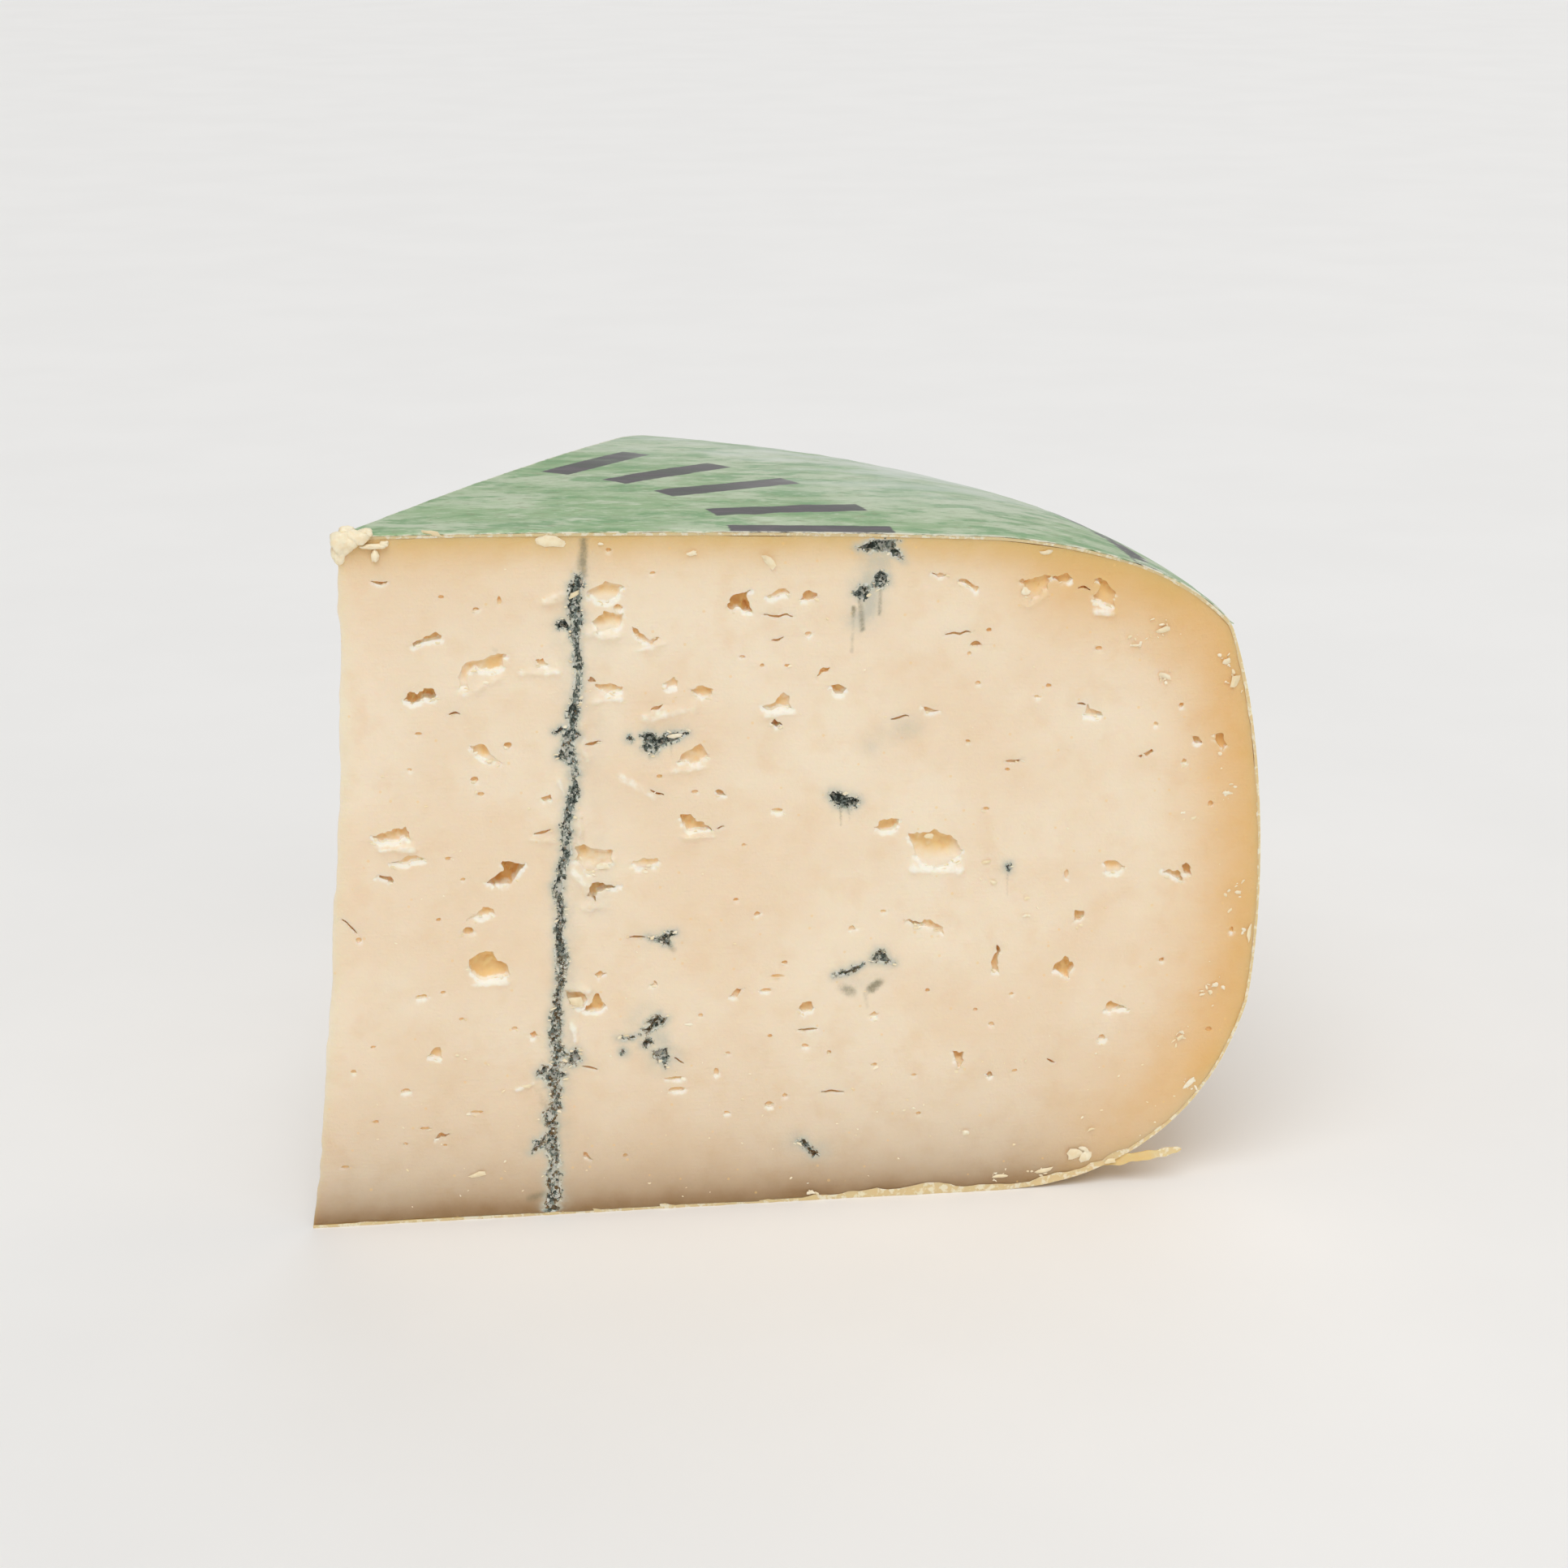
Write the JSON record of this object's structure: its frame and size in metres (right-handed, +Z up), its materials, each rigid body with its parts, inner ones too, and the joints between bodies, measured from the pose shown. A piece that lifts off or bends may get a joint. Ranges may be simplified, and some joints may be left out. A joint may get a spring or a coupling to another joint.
{
  "type": "cheese wedge",
  "caption": "One-sixth wedge of a blue cheese wheel with eyes and a mould vein in its cut faces, a thin rind film and a green paper label on top.",
  "frame": {"origin": "under the middle of the wedge's box, on the surface it rests on", "axes": "+X along the front cut from the point of the wedge to the rim, +Y away from the front cut, +Z up"},
  "size_m": [0.132, 0.1096, 0.0976],
  "materials": {
    "cheese": "moist cream paste, amber inside the eyes, yellower towards the rind, with blue-green mould",
    "rind_film": "thin translucent yellow film, satin",
    "top_label": "matt green paper with a watercolour wash and plain dark bars, pressed on to the film"
  },
  "bodies": {
    "root": {"cheese": "cheese", "rind_film": "rind_film", "top_label": "top_label"}
  },
  "joints": []
}
